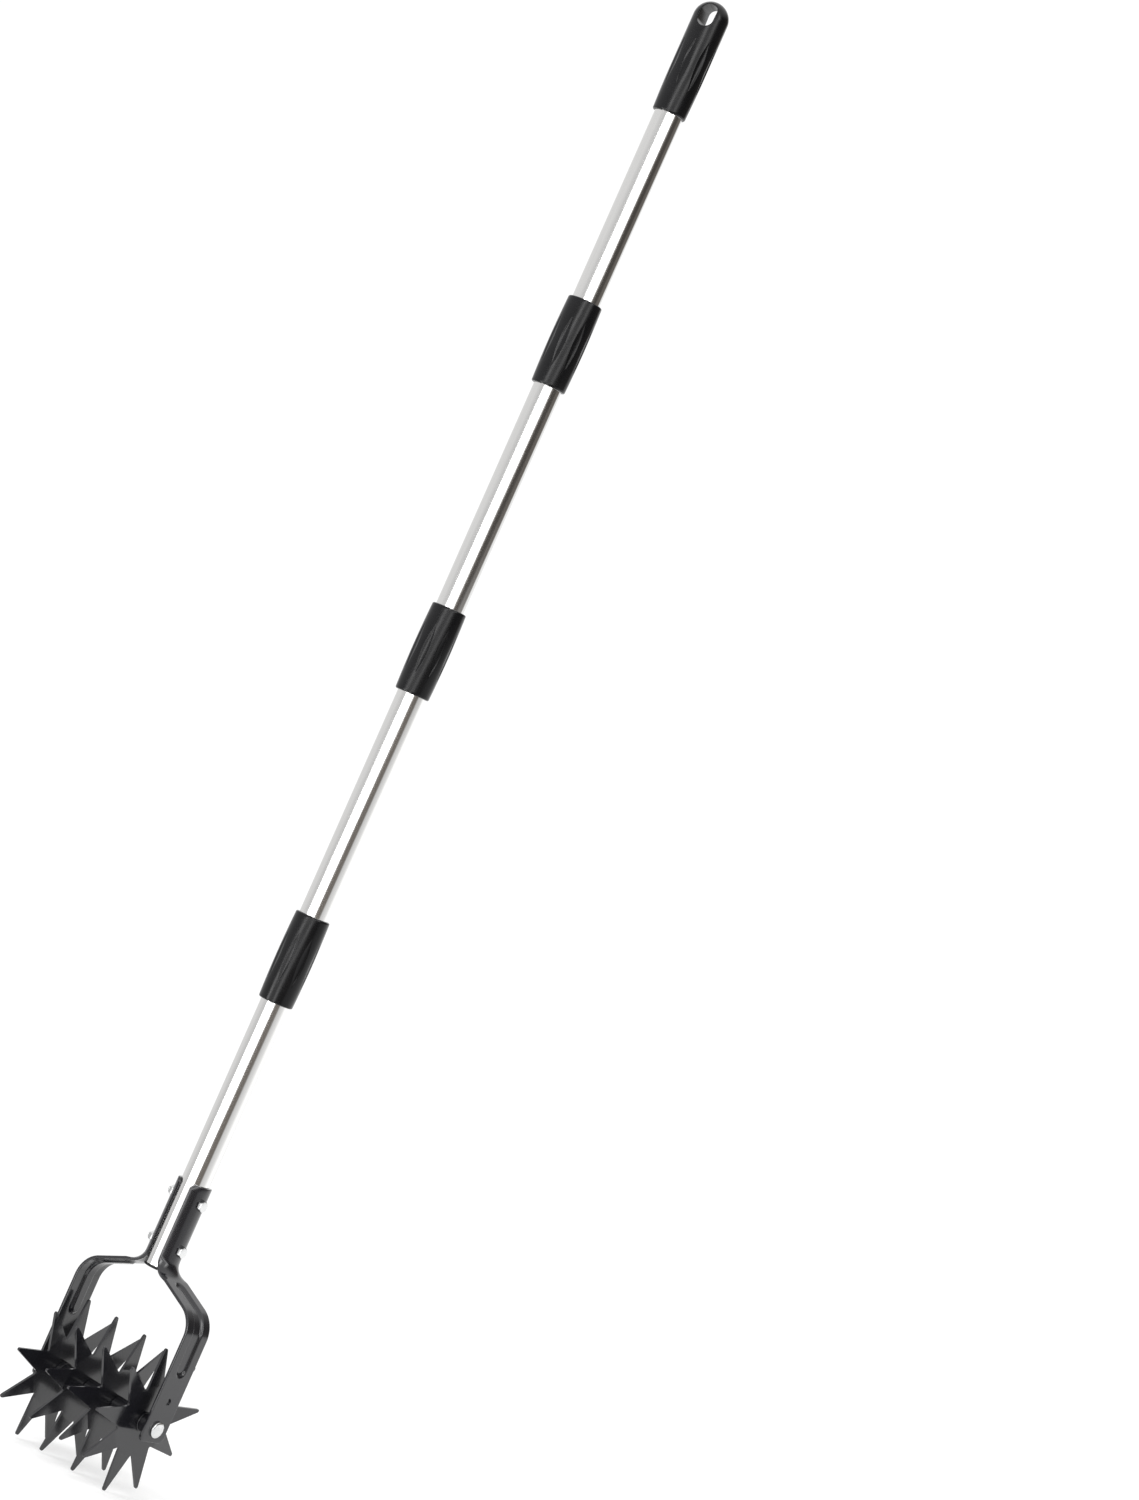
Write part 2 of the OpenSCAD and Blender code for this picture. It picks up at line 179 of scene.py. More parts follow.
def geometry_tree(name, inputs):
    """A Geometry Nodes group with a Geometry input, those named inputs and a Geometry output."""
    tree = bpy.data.node_groups.new(name, "GeometryNodeTree")
    tree.interface.new_socket("Geometry", in_out="INPUT", socket_type="NodeSocketGeometry")
    for label, kind in inputs.items():
        tree.interface.new_socket(label, in_out="INPUT", socket_type="NodeSocket" + kind)
    tree.interface.new_socket("Geometry", in_out="OUTPUT", socket_type="NodeSocketGeometry")
    return tree


def run_tree(piece, tree, values):
    """Puts the tree on the piece with its named inputs set, and keeps the mesh that it makes."""
    modifier = piece.modifiers.new(tree.name, "NODES")
    modifier.node_group = tree
    for item in tree.interface.items_tree:
        if item.in_out == "INPUT" and item.name in values:
            modifier[item.identifier] = values[item.name]
    return as_plain_mesh(piece)


def new_material(name):
    """A material with its tree, its Principled shader and the piece's own coordinates."""
    material = bpy.data.materials.new(name)
    material.use_nodes = True
    nodes = NodeTree(material.node_tree)
    shader = material.node_tree.nodes["Principled BSDF"]
    return material, nodes, shader, nodes.add("ShaderNodeTexCoord").outputs["Object"]


def coat(piece, material):
    """Gives the whole piece that one material."""
    piece.data.materials.clear()
    piece.data.materials.append(material)


def enamel():
    """Sprayed and baked black enamel on steel: smooth, with a little orange peel and dust nibs."""
    material, nodes, shader, place = new_material("black_enamel")
    peel = nodes.noise(place, 420.0)
    cloud = nodes.noise(place, 38.0, 4.0)
    nib = nodes.add("ShaderNodeTexVoronoi", {"Vector": place, "Scale": 240.0}).outputs["Distance"]
    relief = nodes.math("ADD", peel, nodes.spread(nib, 0.03, 0.08, 0.5, 0.0))
    nodes.feed(shader, {
        "Base Color": nodes.mix(cloud, (0.007, 0.007, 0.0088, 1), (0.012, 0.012, 0.0148, 1)),
        "Roughness": nodes.spread(cloud, 0.3, 0.7, 0.13, 0.20),
        "Normal": nodes.bump(relief, 0.02, 0.0004),
        "Specular IOR Level": 0.72})
    return material


black_enamel = enamel()


def point_outline():
    """One point of a star, from the middle of the notch on one side to that on the other."""
    notch = point_step / 2
    apex = (notch_apex_r * math.cos(notch), notch_apex_r * math.sin(notch))
    tip_centre = (wheel_r - tip_round, 0)
    flank = math.atan2(apex[1] - tip_round, tip_centre[0] - apex[0])
    centre_r = notch_apex_r + notch_round / math.sin(notch + flank)
    centre = (centre_r * math.cos(notch), centre_r * math.sin(notch))
    slope, opening = math.degrees(flank), math.degrees(notch)
    side = arc(centre, notch_round, 180 + opening, 270 - slope, punched_steps)
    side += arc(tip_centre, tip_round, 90 - slope, 0, punched_steps)
    return side + [(x, -y) for x, y in reversed(side[:-1])]


def point_blank():
    """The ninth part of a star round one point: flat plate with rounded edges, open at its sides."""
    outline = point_outline()
    opening = math.degrees(point_step / 2)
    hole = arc((0, 0), axle_hole_r, -opening, opening, punched_steps)
    loop = outline + hole
    count, outer = len(loop), len(outline)
    shape = bmesh.new()
    top = [shape.verts.new((x, y, plate_t / 2)) for x, y in loop]
    foot = [shape.verts.new((x, y, -plate_t / 2)) for x, y in loop]
    shape.faces.new(top)
    shape.faces.new(list(reversed(foot)))
    for k in range(count - 1):
        if k != outer - 1:
            shape.faces.new((top[k], foot[k], foot[k + 1], top[k + 1]))
    rim = [e for e in shape.edges for side in (top[:outer], foot[:outer])
           if e.verts[0] in side and e.verts[1] in side]
    bmesh.ops.bevel(shape, geom=rim, offset=punched_edge, segments=3, profile=0.5, affect="EDGES")
    for k in range(-bend_rows, bend_rows + 1):
        at = (bend_line + k * bend_half / bend_rows, 0, 0)
        cut = shape.verts[:] + shape.edges[:] + shape.faces[:]
        bmesh.ops.bisect_plane(shape, geom=cut, plane_co=at, plane_no=(1, 0, 0), dist=1e-7)
    mesh = bpy.data.meshes.new("point_blank")
    shape.to_mesh(mesh)
    shape.free()
    return mesh


def star_tree():
    """Repeats the blank round the hub and sets each point over, left, straight or right in turn."""
    tree = geometry_tree("star_points", {
        "Points": "Int", "Order": "Int", "Set Angle": "Float", "Bend Line": "Float",
        "Bend Half": "Float", "Material": "Material"})
    nodes = NodeTree(tree)
    given = nodes.add("NodeGroupInput").outputs
    places = nodes.add("GeometryNodePoints", {"Count": given["Points"]})
    index = nodes.add("GeometryNodeInputIndex").outputs[0]
    turn = nodes.math("MULTIPLY", index, nodes.math("DIVIDE", math.tau, given["Points"]))
    way = nodes.math("SUBTRACT", 1.0, nodes.math(
        "FLOORED_MODULO", nodes.math("SUBTRACT", index, given["Order"]), 3.0))
    spin = nodes.add("ShaderNodeCombineXYZ", {"Z": turn})
    rotation = nodes.add("FunctionNodeEulerToRotation", {0: spin.outputs[0]})
    copies = nodes.add("GeometryNodeInstanceOnPoints", {
        "Points": places.outputs[0], "Instance": given["Geometry"], "Rotation": rotation.outputs[0]})
    kept = copies.outputs[0]
    for label, value in (("turn", turn), ("way", way)):
        kept = nodes.add("GeometryNodeStoreNamedAttribute", {
            "Geometry": kept, "Name": label, "Value": value},
            data_type="FLOAT", domain="INSTANCE").outputs[0]
    whole = nodes.add("GeometryNodeRealizeInstances", {"Geometry": kept})
    own_turn = nodes.add("GeometryNodeInputNamedAttribute", {"Name": "turn"}, data_type="FLOAT").outputs[0]
    own_way = nodes.add("GeometryNodeInputNamedAttribute", {"Name": "way"}, data_type="FLOAT").outputs[0]
    place = nodes.add("GeometryNodeInputPosition").outputs[0]
    squared = nodes.add("ShaderNodeVectorRotate", {
        "Vector": place, "Angle": nodes.math("MULTIPLY", own_turn, -1.0)}, rotation_type="Z_AXIS")
    along = nodes.add("ShaderNodeSeparateXYZ", {0: squared.outputs[0]}).outputs[0]
    share = nodes.spread(
        along, nodes.math("SUBTRACT", given["Bend Line"], given["Bend Half"]),
        nodes.math("ADD", given["Bend Line"], given["Bend Half"]), interpolation_type="SMOOTHSTEP")
    lean = nodes.math("MULTIPLY", nodes.math("MULTIPLY", own_way, given["Set Angle"]), share)
    hinge = nodes.add("ShaderNodeCombineXYZ", {"X": given["Bend Line"]})
    bent = nodes.add("ShaderNodeVectorRotate", {
        "Vector": squared.outputs[0], "Center": hinge.outputs[0],
        "Angle": nodes.math("MULTIPLY", lean, -1.0)}, rotation_type="Y_AXIS")
    back = nodes.add("ShaderNodeVectorRotate", {
        "Vector": bent.outputs[0], "Angle": own_turn}, rotation_type="Z_AXIS")
    moved = nodes.add("GeometryNodeSetPosition", {
        "Geometry": whole.outputs[0], "Position": back.outputs[0]})
    welded = nodes.add("GeometryNodeMergeByDistance", {"Geometry": moved.outputs[0], "Distance": 2e-6})
    painted = nodes.add("GeometryNodeSetMaterial", {
        "Geometry": welded.outputs[0], "Material": given["Material"]})
    nodes.add("NodeGroupOutput", {0: painted.outputs[0]})
    return tree


star_points = star_tree()
blank = point_blank()
axle_z = sum(corner.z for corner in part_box("axle_bolt")) / 2
for number in range(1, 5):
    node = f"star_wheel_{number}"
    low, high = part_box(node)
    star = bpy.data.objects.new(f"star_{number}", blank.copy())
    bpy.context.scene.collection.objects.link(star)
    run_tree(star, star_points, {
        "Points": points, "Order": number - 1, "Set Angle": set_angle, "Bend Line": bend_line,
        "Bend Half": bend_half, "Material": black_enamel})
    stood_up = Matrix.Rotation(math.radians(90), 4, "Z") @ Matrix.Rotation(math.radians(90), 4, "X")
    turned_on = Matrix.Rotation(first_turn + (number - 1) * next_turn, 4, "X")
    middle = Matrix.Translation(((low.x + high.x) / 2, 0, axle_z))
    star.data.transform(middle @ turned_on @ stood_up)
    tidy_mesh(star.data)
    soften(star.data, 15)
    belongs(star, f"wheel_{number}", "black_paint", node)


# ------------------------------------------------------------------ hubs, spacers and washers
# Lengths of steel tube, turned to length with their edges broken and enamelled black. A hub tube
# is fixed to each star; a spacer at each end keeps the stars off the arms, with a thin washer.
lathe_steps = 96
tube_edge = 0.0006
tiny = 1e-7


def rounded(corners, r, steps=3):
    """The closed outline with every corner off the axis rounded to radius r, where there is room."""
    out = []
    count = len(corners)
    for k, corner in enumerate(corners):
        here = Vector(corner)
        before = Vector(corners[k - 1]) - here
        after = Vector(corners[(k + 1) % count]) - here
        if min(here.x, before.length, after.length) < tiny:
            out.append(tuple(here))
            continue
        half = before.angle(after) / 2
        reach = min(r / math.tan(half), 0.45 * before.length, 0.45 * after.length)
        a = here + before.normalized() * reach
        b = here + after.normalized() * reach
        for step in range(steps + 1):
            t = step / steps
            out.append(tuple(a * (1 - t) ** 2 + here * 2 * t * (1 - t) + b * t ** 2))
    return out


def with_support(outline, near=0.0005):
    """The outline with a point close to both ends of each long side, which keeps its shading flat."""
    out = []
    for k, corner in enumerate(outline):
        here, there = Vector(corner), Vector(outline[(k + 1) % len(outline)])
        out.append(tuple(here))
        side = there - here
        if side.length > 5 * near and max(here.x, there.x) > tiny:
            step = side.normalized() * near
            out += [tuple(here + step), tuple(there - step)]
    return out


def lathe(name, outline, seat, steps=lathe_steps):
    """Turns an outline of (radius, height) points about Z and puts it in its seat."""
    outline = with_support(outline)
    vertices, faces = [], []
    count = len(outline)
    for step in range(steps):
        a = math.tau * step / steps
        vertices += [(r * math.cos(a), r * math.sin(a), h) for r, h in outline]
    for step in range(steps):
        here, there = step * count, (step + 1) % steps * count
        for k in range(count):
            nxt = (k + 1) % count
            if outline[k][0] > tiny or outline[nxt][0] > tiny:
                faces.append((here + k, there + k, there + nxt, here + nxt))
    piece = new_mesh(name, vertices, faces)
    piece.data.transform(seat)
    soften(piece.data)
    return piece


def along_x(x, up=0.0):
    """Lays a turned piece along X with its foot at x, that far above the axle."""
    return Matrix.Translation((x, 0, axle_z + up)) @ Matrix.Rotation(math.radians(90), 4, "Y")


def ring(outer_r, inner_r, length):
    return [(inner_r, 0), (outer_r, 0), (outer_r, length), (inner_r, length)]


sleeves_on_axle = {f"star_hub_{number}": f"wheel_{number}" for number in range(1, 5)}
sleeves_on_axle.update({"left_spacer": "head", "right_spacer": "head", "thrust_washer": "head"})
for node, body in sleeves_on_axle.items():
    low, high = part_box(node)
    outline = rounded(ring((high.z - low.z) / 2, axle_hole_r, high.x - low.x), tube_edge)
    piece = lathe(node.replace("star_", "") + "_tube", outline, along_x(low.x))
    coat(piece, black_enamel)
    belongs(piece, body, "black_paint", node)


# ------------------------------------------------------------------ axle bolt, washer and nut
# A bright zinc-plated bolt with a low round head goes through both arms and everything between
# them. A washer and a lock nut hold it; the nut's nylon ring stands in a collar at its end.
axle_r = 0.005
axle_clear_r = 0.00515
head_h = 0.0028
head_edge = 0.0004
head_crown = 0.0007
bolt_chamfer = 0.0009
thread_pitch = 0.0015
thread_end = 0.014
run_out = 0.001
rows_per_turn = 8
washer_edge = 0.0003
nut_flats = 0.016
hex_steps = 120
hex_crown = 0.95
hex_edge = 0.00015
nylon_collar = 0.0025
collar_wall = 0.0012
collar_step = 0.001


def zinc_plate():
    """Bright zinc plate: cool and nearly mirror-like, with faint cloudy passivation and fine scuffs."""
    material, nodes, shader, place = new_material("bright_zinc")
    cloud = nodes.noise(place, 160.0, 3.0)
    scuff = nodes.noise(place, 2200.0, 1.0)
    nodes.feed(shader, {
        "Base Color": nodes.mix(cloud, (0.60, 0.61, 0.62, 1), (0.80, 0.80, 0.79, 1)),
        "Roughness": nodes.spread(cloud, 0.3, 0.7, 0.12, 0.22),
        "Normal": nodes.bump(scuff, 0.08, 0.0002),
        "Metallic": 1.0})
    return material


bright_zinc = zinc_plate()


def from_axis(nodes, x, y):
    """Distance from the Z axis."""
    return nodes.math("SQRT", nodes.math("ADD", nodes.math("MULTIPLY", x, x), nodes.math("MULTIPLY", y, y)))


def sink(nodes, given, place, r, cut):
    """Ends a tree: every point moves in towards the Z axis by cut, and the whole gets its material."""
    x, y, z = place
    shrink = nodes.math("DIVIDE", nodes.math("SUBTRACT", r, cut), nodes.math("MAXIMUM", r, 1e-6))
    moved = nodes.add("ShaderNodeCombineXYZ", {
        "X": nodes.math("MULTIPLY", x, shrink), "Y": nodes.math("MULTIPLY", y, shrink), "Z": z})
    shaped = nodes.add("GeometryNodeSetPosition", {
        "Geometry": given["Geometry"], "Position": moved.outputs[0]})
    whole = nodes.add("GeometryNodeRealizeInstances", {"Geometry": shaped.outputs[0]})
    painted = nodes.add("GeometryNodeSetMaterial", {
        "Geometry": whole.outputs[0], "Material": given["Material"]})
    nodes.add("NodeGroupOutput", {0: painted.outputs[0]})


def thread_tree():
    """Rolls a V thread into the part of a turned piece between two heights, fading at both ends."""
    tree = geometry_tree("rolled_thread", {
        "Pitch": "Float", "Depth": "Float", "Core Radius": "Float", "Foot": "Float", "Top": "Float",
        "Material": "Material"})
    nodes = NodeTree(tree)
    given = nodes.add("NodeGroupInput").outputs
    place = nodes.add("GeometryNodeInputPosition").outputs[0]
    x, y, z = nodes.add("ShaderNodeSeparateXYZ", {0: place}).outputs
    angle = nodes.math("ARCTAN2", y, x)
    r = from_axis(nodes, x, y)
    lead = nodes.math("SUBTRACT", nodes.math("DIVIDE", z, given["Pitch"]),
                      nodes.math("DIVIDE", angle, math.tau))
    ridge = nodes.math("MULTIPLY", nodes.math("PINGPONG", lead, 0.5), 2.0)
    fade_in = nodes.spread(z, given["Foot"], nodes.math("ADD", given["Foot"], given["Pitch"]))
    fade_out = nodes.spread(z, given["Top"], nodes.math("SUBTRACT", given["Top"], given["Pitch"]))
    outside = nodes.math("GREATER_THAN", r, given["Core Radius"])
    cut = nodes.math("MULTIPLY", nodes.math("MULTIPLY", given["Depth"], ridge),
                     nodes.math("MULTIPLY", nodes.math("MULTIPLY", fade_in, fade_out), outside))
    sink(nodes, given, (x, y, z), r, cut)
    return tree


rolled_thread = thread_tree()


def threaded(name, outline, seat, material, pitch, depth, core_r, foot, top, steps=64):
    """A turned piece with a thread rolled into it between the heights foot and top."""
    piece = lathe(name, outline, Matrix.Identity(4), steps)
    run_tree(piece, rolled_thread, {
        "Pitch": pitch, "Depth": depth, "Core Radius": core_r, "Foot": foot, "Top": top,
        "Material": material})
    piece.data.transform(seat)
    soften(piece.data, 60)
    return piece


def fine_rows(r, start, end, step):
    """Rows at radius r, close enough together to carry a thread."""
    count = max(1, round(abs(end - start) / step))
    return [(r, start + (end - start) * k / count) for k in range(count + 1)]


def crowned_hex(name, flats, height, bore_r, seat, both=False):
    """A hexagon bar end with its corners turned off at 30 degrees, bored through if bore_r isn't 0."""
    apothem = flats / 2
    crown_r = hex_crown * apothem
    fall = math.tan(math.radians(30))
    vertices, faces = [], []
    for step in range(hex_steps):
        a = math.tau * step / hex_steps
        r = apothem / math.cos((a % (math.tau / 6)) - math.tau / 12)
        drop = (r - crown_r) * fall
        column = [(bore_r, 0), (crown_r, 0), (r, drop if both else 0), (r, height - drop),
                  (crown_r, height), (bore_r, height)]
        vertices += [(q * math.cos(a), q * math.sin(a), h) for q, h in column]
    for step in range(hex_steps):
        here, there = step * 6, (step + 1) % hex_steps * 6
        for k in range(6 if bore_r else 5):
            nxt = (k + 1) % 6
            faces.append((here + k, there + k, there + nxt, here + nxt))
    piece = new_mesh(name, vertices, faces)
    piece.data.transform(seat)
    edge = piece.modifiers.new("edge", "BEVEL")
    edge.width, edge.segments, edge.limit_method = hex_edge, 2, "ANGLE"
    edge.angle_limit = math.radians(24)
    as_plain_mesh(piece)
    soften(piece.data, 40)
    return piece


def joined(name, parts, material):
    """One object of one material out of several."""
    shape = bmesh.new()
    for part in parts:
        shape.from_mesh(part.data)
        bpy.data.objects.remove(part)
    mesh = bpy.data.meshes.new(name)
    shape.to_mesh(mesh)
    shape.free()
    mesh.materials.append(material)
    piece = bpy.data.objects.new(name, mesh)
    bpy.context.scene.collection.objects.link(piece)
    return piece


low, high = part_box("axle_bolt")
bolt_l, head_r = high.x - low.x, (high.z - low.z) / 2
head_foot = bolt_l - head_h
crown = [(head_r * math.sin(math.radians(a)), bolt_l - head_crown * (1 - math.cos(math.radians(a))))
         for a in (75, 50, 25)]
outline = [(0, 0), (axle_r - bolt_chamfer, 0)]
outline += fine_rows(axle_r, bolt_chamfer, thread_end + run_out, thread_pitch / rows_per_turn)
outline += [(axle_r, head_foot), (head_r - head_edge, head_foot), (head_r, head_foot + head_edge)]
outline += [(head_r, bolt_l - head_crown - head_edge), (head_r - head_edge / 2, bolt_l - head_crown)]
outline += crown + [(0, bolt_l)]
bolt = threaded("axle_bolt_turned", outline, along_x(low.x), bright_zinc, thread_pitch, 0.0008,
                axle_r - 0.0005, 0.0, thread_end)
belongs(bolt, "head", "zinc", "axle_bolt")

low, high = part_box("axle_washer")
outline = rounded(ring((high.z - low.z) / 2, axle_clear_r, high.x - low.x), washer_edge)
washer = lathe("axle_washer_stamped", outline, along_x(low.x))
coat(washer, bright_zinc)
belongs(washer, "head", "zinc", "axle_washer")


def nylon():
    """The blue-white nylon of a lock nut's ring, waxy and a little uneven in colour."""
    material, nodes, shader, place = new_material("nut_nylon")
    cloud = nodes.noise(place, 300.0)
    nodes.feed(shader, {
        "Base Color": nodes.mix(cloud, (0.62, 0.66, 0.70, 1), (0.74, 0.77, 0.79, 1)),
        "Roughness": 0.45})
    return material


low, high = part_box("axle_nut")
nut_h = high.x - low.x
collar_r = nut_flats / 2 - collar_step
ring_r = collar_r - collar_wall
collar_top = nylon_collar + 0.0002
hexagon = crowned_hex("nut_body", nut_flats, nut_h - nylon_collar, axle_r, along_x(low.x + nylon_collar))
outline = [(ring_r, 0), (collar_r, 0), (collar_r, collar_top), (ring_r, collar_top)]
collar = lathe("nut_collar", rounded(outline, 0.0005), along_x(low.x))
outline = [(axle_r, 0.0004), (ring_r, 0.0004), (ring_r, nylon_collar), (axle_r, nylon_collar)]
insert = lathe("axle_nut_nylon_ring", rounded(outline, 0.0002), along_x(low.x))
coat(insert, nylon())
nut = joined("axle_lock_nut", [hexagon, collar], bright_zinc)
belongs(nut, "head", "zinc", "axle_nut")
belongs(insert, "head", "zinc")


# ------------------------------------------------------------------ fork arms
# Each arm is one strip of 3 mm steel, pressed to shape and enamelled black. A groove stamped
# down the outside stiffens it and stands out as a bead inside; its top is rolled round the tube.
strip_w = 0.034
strip_t = 0.003
strip_edge = 0.0006
foot_corner = 0.0055
clasp_corner = 0.005
flare = math.radians(22.5)
shoulder_r = 0.0265
clasp_bend_r = 0.016
groove_depth = 0.0024
groove_w = 0.015
groove_edge = 0.0034
groove_foot = 0.065
groove_head = 0.003
spare_hole_r = 0.0035
spare_hole_up = 0.0275
clasp_hole_r = 0.0032
leg_span = (0.066, 0.082)
clasp_span = (0.008, 0.024)
strip_columns = 56
edge_steps = 3
row_step = 0.0016
roll_lead = 0.002
least_roll = 0.001
end_angles = (90, 60, 30, 0)
m6_flats = 0.010

arm_low, arm_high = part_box("right_arm")
tube_r = (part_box("tube_3")[1].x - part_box("tube_3")[0].x) / 2
arm_x = arm_high.x - strip_t / 2
clasp_r = tube_r + 0.0001 + strip_t / 2
clasp_base = 0.132
bend_turn = math.radians(90) - flare
flare_run = arm_x - clasp_r
corner_z = clasp_base - flare_run * math.tan(flare)
shoulder_cut = shoulder_r * math.tan(bend_turn / 2)
clasp_cut = clasp_bend_r * math.tan(bend_turn / 2)
foot_z = arm_low.z - axle_z
leg_l = corner_z - shoulder_cut - foot_z
shoulder_l = shoulder_r * bend_turn
flare_l = flare_run / math.cos(flare) - shoulder_cut - clasp_cut
clasp_bend_l = clasp_bend_r * bend_turn
clasp_l = arm_high.z - axle_z - clasp_base - clasp_cut
arm_l = leg_l + shoulder_l + flare_l + clasp_bend_l + clasp_l
flare_end = leg_l + shoulder_l + flare_l
groove_end = flare_end - groove_head


def arm_line(s):
    """Middle line of the right arm at length s from its foot: (x, height above the axle, heading)."""
    if s < leg_l:
        return arm_x, foot_z + s, math.pi / 2
    s -= leg_l
    a = min(s, shoulder_l) / shoulder_r
    x = arm_x - shoulder_r * (1 - math.cos(a))
    z = foot_z + leg_l + shoulder_r * math.sin(a)
    if s < shoulder_l:
        return x, z, math.pi / 2 + a
    s -= shoulder_l
    run = min(s, flare_l)
    x, z = x - run * math.cos(flare), z + run * math.sin(flare)
    heading = math.pi / 2 + bend_turn
    if s < flare_l:
        return x, z, heading
    s -= flare_l
    a = min(s, clasp_bend_l) / clasp_bend_r
    x += clasp_bend_r * (math.sin(heading) - math.sin(heading - a))
    z += clasp_bend_r * (math.cos(heading - a) - math.cos(heading))
    if s < clasp_bend_l:
        return x, z, heading - a
    return clasp_r, z + s - clasp_bend_l, math.pi / 2


def ease(t):
    """Smooth step from 0 to 1."""
    t = min(1.0, max(0.0, t))
    return t * t * (3 - 2 * t)


def strip_point(s, v, side):
    """A point of the arm at length s, v across the strip and side outwards from its middle."""
    x, z, heading = arm_line(s)
    roll = ease((s - flare_end + roll_lead) / (clasp_bend_l + 2 * roll_lead))
    r = clasp_r / max(least_roll, roll)
    past_end = max(0.0, groove_foot + groove_w / 2 - s, s - groove_end + groove_w / 2)
    groove = groove_depth * ease((groove_w / 2 - math.hypot(v, past_end)) / groove_edge)
    depth = side - groove
    a = v / r
    out = (r + depth) * math.cos(a) - r
    return (x + out * math.sin(heading), (r + depth) * math.sin(a),
            axle_z + z - out * math.cos(heading))


def corner_trim(v, r):
    """How far a rounded corner of radius r sets the strip's end back at v across it."""
    u = min(r, max(0.0, abs(v) - strip_w / 2 + r))
    return r - math.sqrt(r * r - u * u)


def strip_section(shrink):
    """The strip's cross-section as (v, side) points, its edges rounded; shrink thins it at the ends."""
    half_w, half_t = strip_w / 2, strip_t / 2
    across = [(half_w - strip_edge) * (2 * k / strip_columns - 1) for k in range(strip_columns + 1)]
    right = arc((half_w - strip_edge, half_t - strip_edge), strip_edge, 90, 0, edge_steps)
    right += [(v, -side) for v, side in reversed(right)]
    loop = [(v, half_t) for v in across] + right[1:-1]
    loop += [(v, -half_t) for v in reversed(across)] + [(-v, -side) for v, side in right[1:-1]]
    return [(v, side * (1 - shrink / half_t)) for v, side in loop]


def arm_rows():
    """(length along the arm, how much the section is thinned) for every row, close in the bends."""
    rows = [(strip_edge * (1 - math.sin(math.radians(a))), strip_edge * (1 - math.cos(math.radians(a))))
            for a in end_angles]
    count = round(arm_l / row_step)
    between = arm_l - foot_corner - clasp_corner - row_step
    middle = [(foot_corner + row_step / 2 + between * k / count, 0) for k in range(count + 1)]
    return rows + middle + [(arm_l - s, thin) for s, thin in reversed(rows)]


def pressed_strip(name, mirror):
    """The right arm, or its mirror image: one section of the strip after another, closed at both ends."""
    rows = arm_rows()
    trimmed = len(end_angles)
    vertices, faces = [], []
    for k, (s, thin) in enumerate(rows):
        for v, side in strip_section(thin):
            at = s
            if k < trimmed:
                at = s + corner_trim(v, foot_corner)
            elif k >= len(rows) - trimmed:
                at = s - corner_trim(v, clasp_corner)
            x, y, z = strip_point(at, v, side)
            vertices.append((-x if mirror else x, y, z))
    count = len(strip_section(0))
    for k in range(len(rows) - 1):
        here, there = k * count, (k + 1) * count
        for c in range(count):
            nxt = (c + 1) % count
            faces.append((here + c, there + c, there + nxt, here + nxt))
    for base in (0, (len(rows) - 1) * count):
        for c in range(count // 2 - 1):
            facing = count - edge_steps - 1 - c
            faces.append((base + c, base + c + 1, base + (facing - 1) % count, base + facing % count))
    return new_mesh(name, vertices, faces)


def cut_away(piece, cutter):
    """Takes the cutter's shape out of the piece."""
    cut = piece.modifiers.new("cut", "BOOLEAN")
    cut.operation, cut.solver, cut.object = "DIFFERENCE", "EXACT", cutter
    as_plain_mesh(piece)
    bpy.data.objects.remove(cutter)


def drill(piece, holes):
    """Cuts round holes along X: (height above the axle, radius, from x, to x)."""
    for up, r, start, end in holes:
        outline = [(0, 0), (r, 0), (r, end - start), (0, end - start)]
        cut_away(piece, lathe("cutter", outline, along_x(start, up), 48))


bolt_low, bolt_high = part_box("clasp_bolts")
hex_half = m6_flats / 2 / math.cos(math.radians(30))
clasp_bolt_heights = [bolt_low.z + hex_half - axle_z, bolt_high.z - hex_half - axle_z]
for name, mirror in (("right_arm", False), ("left_arm", True)):
    arm = pressed_strip(name + "_pressed", mirror)
    holes = [(0, axle_clear_r, *leg_span), (spare_hole_up, spare_hole_r, *leg_span)]
    holes += [(up, clasp_hole_r, *clasp_span) for up in clasp_bolt_heights]
    if mirror:
        holes = [(up, r, -end, -start) for up, r, start, end in holes]
    drill(arm, holes)
    soften(arm.data, 40)
    coat(arm, black_enamel)
    belongs(arm, "head", "black_paint", name)


# ------------------------------------------------------------------ clasp bolts and nuts
# Two zinc-plated M6 hexagon bolts pull the rolled tops of the arms onto the tube, heads on the
# right and plain nuts on the left, with three turns of thread showing past each nut.
m6_r = 0.003
m6_pitch = 0.001
m6_chamfer = 0.0006
m6_thread = 0.011
m6_head_h = 0.004
m6_nut_h = 0.005

seat_x = bolt_high.x - m6_head_h
nut_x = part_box("clasp_nuts")[0].x
for label, up in zip(("lower", "upper"), clasp_bolt_heights):
    shank_l = seat_x - bolt_low.x + 0.0005
    outline = [(0, 0), (m6_r - m6_chamfer, 0)]
    outline += fine_rows(m6_r, m6_chamfer, m6_thread + run_out, m6_pitch / rows_per_turn)
    outline += [(m6_r, shank_l), (0, shank_l)]
    shank = threaded("shank", outline, along_x(bolt_low.x, up), bright_zinc, m6_pitch, 0.00055,
                     m6_r - 0.0004, 0.0, m6_thread, 48)
    cap = crowned_hex("cap", m6_flats, m6_head_h, 0, along_x(seat_x, up))
    bolt = joined(f"clasp_bolt_{label}", [shank, cap], bright_zinc)
    belongs(bolt, "head", "zinc", *(["clasp_bolts"] if label == "lower" else []))
    nut = crowned_hex(f"clasp_nut_{label}", m6_flats, m6_nut_h, m6_r, along_x(nut_x, up), both=True)
    coat(nut, bright_zinc)
    belongs(nut, "head", "zinc", *(["clasp_nuts"] if label == "lower" else []))


# ------------------------------------------------------------------ pole tubes
# Four lengths of thin-walled stainless tube, welded, drawn and polished along their length until
# they mirror the room in long straight bands.
tube_wall = 0.001


